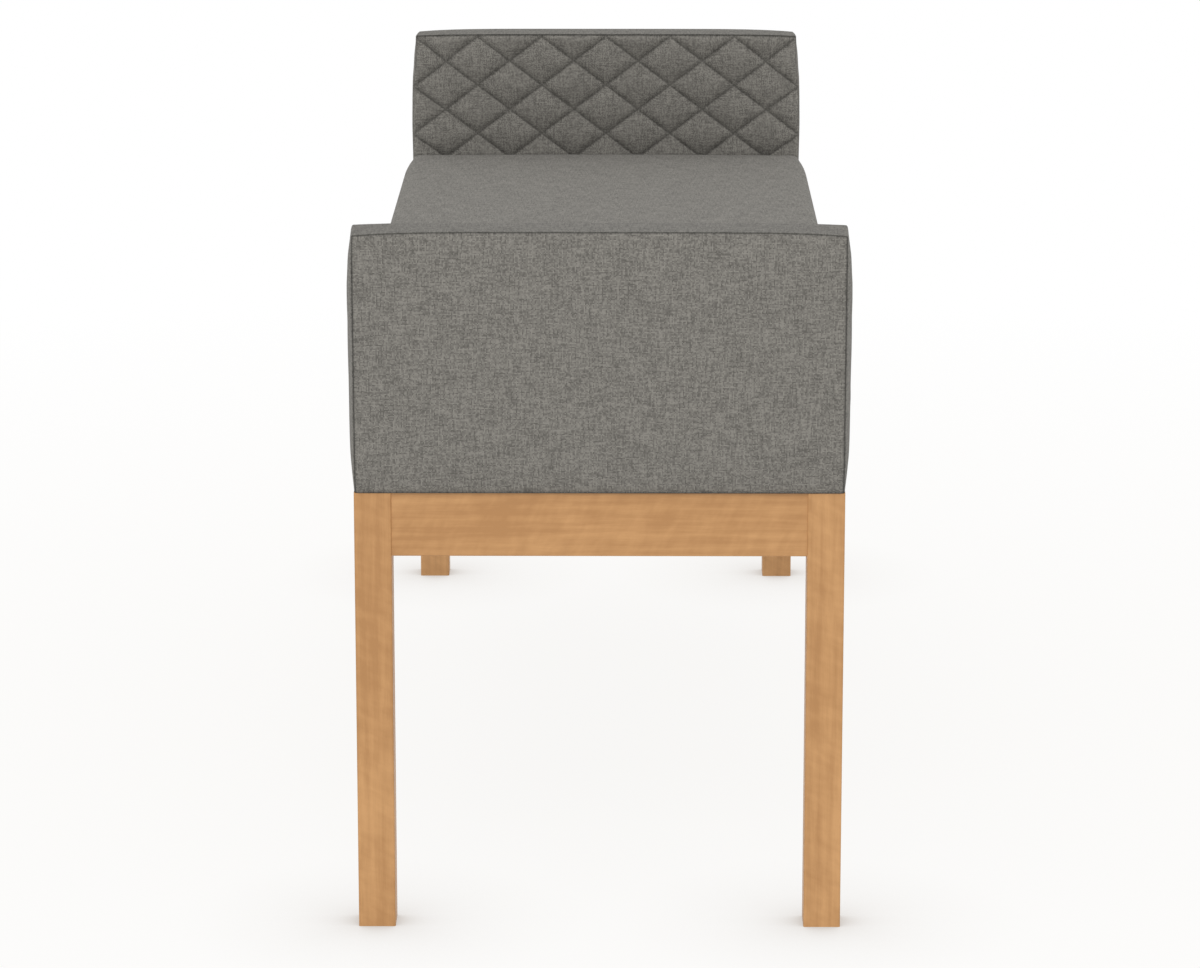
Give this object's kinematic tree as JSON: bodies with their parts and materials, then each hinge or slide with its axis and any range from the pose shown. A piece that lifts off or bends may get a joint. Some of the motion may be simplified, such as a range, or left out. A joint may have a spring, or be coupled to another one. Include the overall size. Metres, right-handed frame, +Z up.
{
  "type": "upholstered bench",
  "caption": "Long upholstered bench with low arms, diamond quilted inside, a crowned seat and a hardwood base on square legs, for sitting at a table, bed or hallway.",
  "frame": {"origin": "on the floor under the middle of the bench", "axes": "+X along the bench, +Y from front to back, +Z up"},
  "size_m": [1.2526, 0.425, 0.5984],
  "materials": {
    "honey_maple": "honey stained curly maple, satin lacquer",
    "grey_weave": "grey-taupe linen-look weave with slubs",
    "frame_wood": "planed softwood",
    "plywood": "sanded plywood",
    "foam": "open cell upholstery foam",
    "batting": "bonded white fibre",
    "webbing": "dark woven elastic webbing",
    "dust_cloth": "black nonwoven dust cloth",
    "steel": "zinc plated steel"
  },
  "bodies": {
    "root": {"back_apron": "honey_maple", "back_left_corner_block": "honey_maple", "back_left_leg": "honey_maple", "back_right_corner_block": "honey_maple", "back_right_leg": "honey_maple", "back_seat_rail": "frame_wood", "body_screws": "steel", "corner_block_screws": "steel", "cross_webbing": "webbing", "dust_cover": "dust_cloth", "front_apron": "honey_maple", "front_left_corner_block": "honey_maple", "front_left_leg": "honey_maple", "front_right_corner_block": "honey_maple", "front_right_leg": "honey_maple", "front_seat_rail": "frame_wood", "left_apron": "honey_maple", "left_arm_bolts": "steel", "left_arm_border": "grey_weave", "left_arm_core": "plywood", "left_arm_edge_wrap": "batting", "left_arm_inner_foam": "foam", "left_arm_inner_panel": "grey_weave", "left_arm_outer_foam": "foam", "left_arm_outer_panel": "grey_weave", "left_arm_tee_nuts": "steel", "left_base_cross_rail": "honey_maple", "left_seat_cross_rail": "frame_wood", "left_seat_rail": "frame_wood", "long_webbing": "webbing", "right_apron": "honey_maple", "right_arm_bolts": "steel", "right_arm_border": "grey_weave", "right_arm_core": "plywood", "right_arm_edge_wrap": "batting", "right_arm_inner_foam": "foam", "right_arm_inner_panel": "grey_weave", "right_arm_outer_foam": "foam", "right_arm_outer_panel": "grey_weave", "right_arm_tee_nuts": "steel", "right_base_cross_rail": "honey_maple", "right_seat_cross_rail": "frame_wood", "right_seat_rail": "frame_wood", "seat_batting": "batting", "seat_cover": "grey_weave", "seat_dowels": "frame_wood", "seat_foam": "foam"}
  },
  "joints": []
}
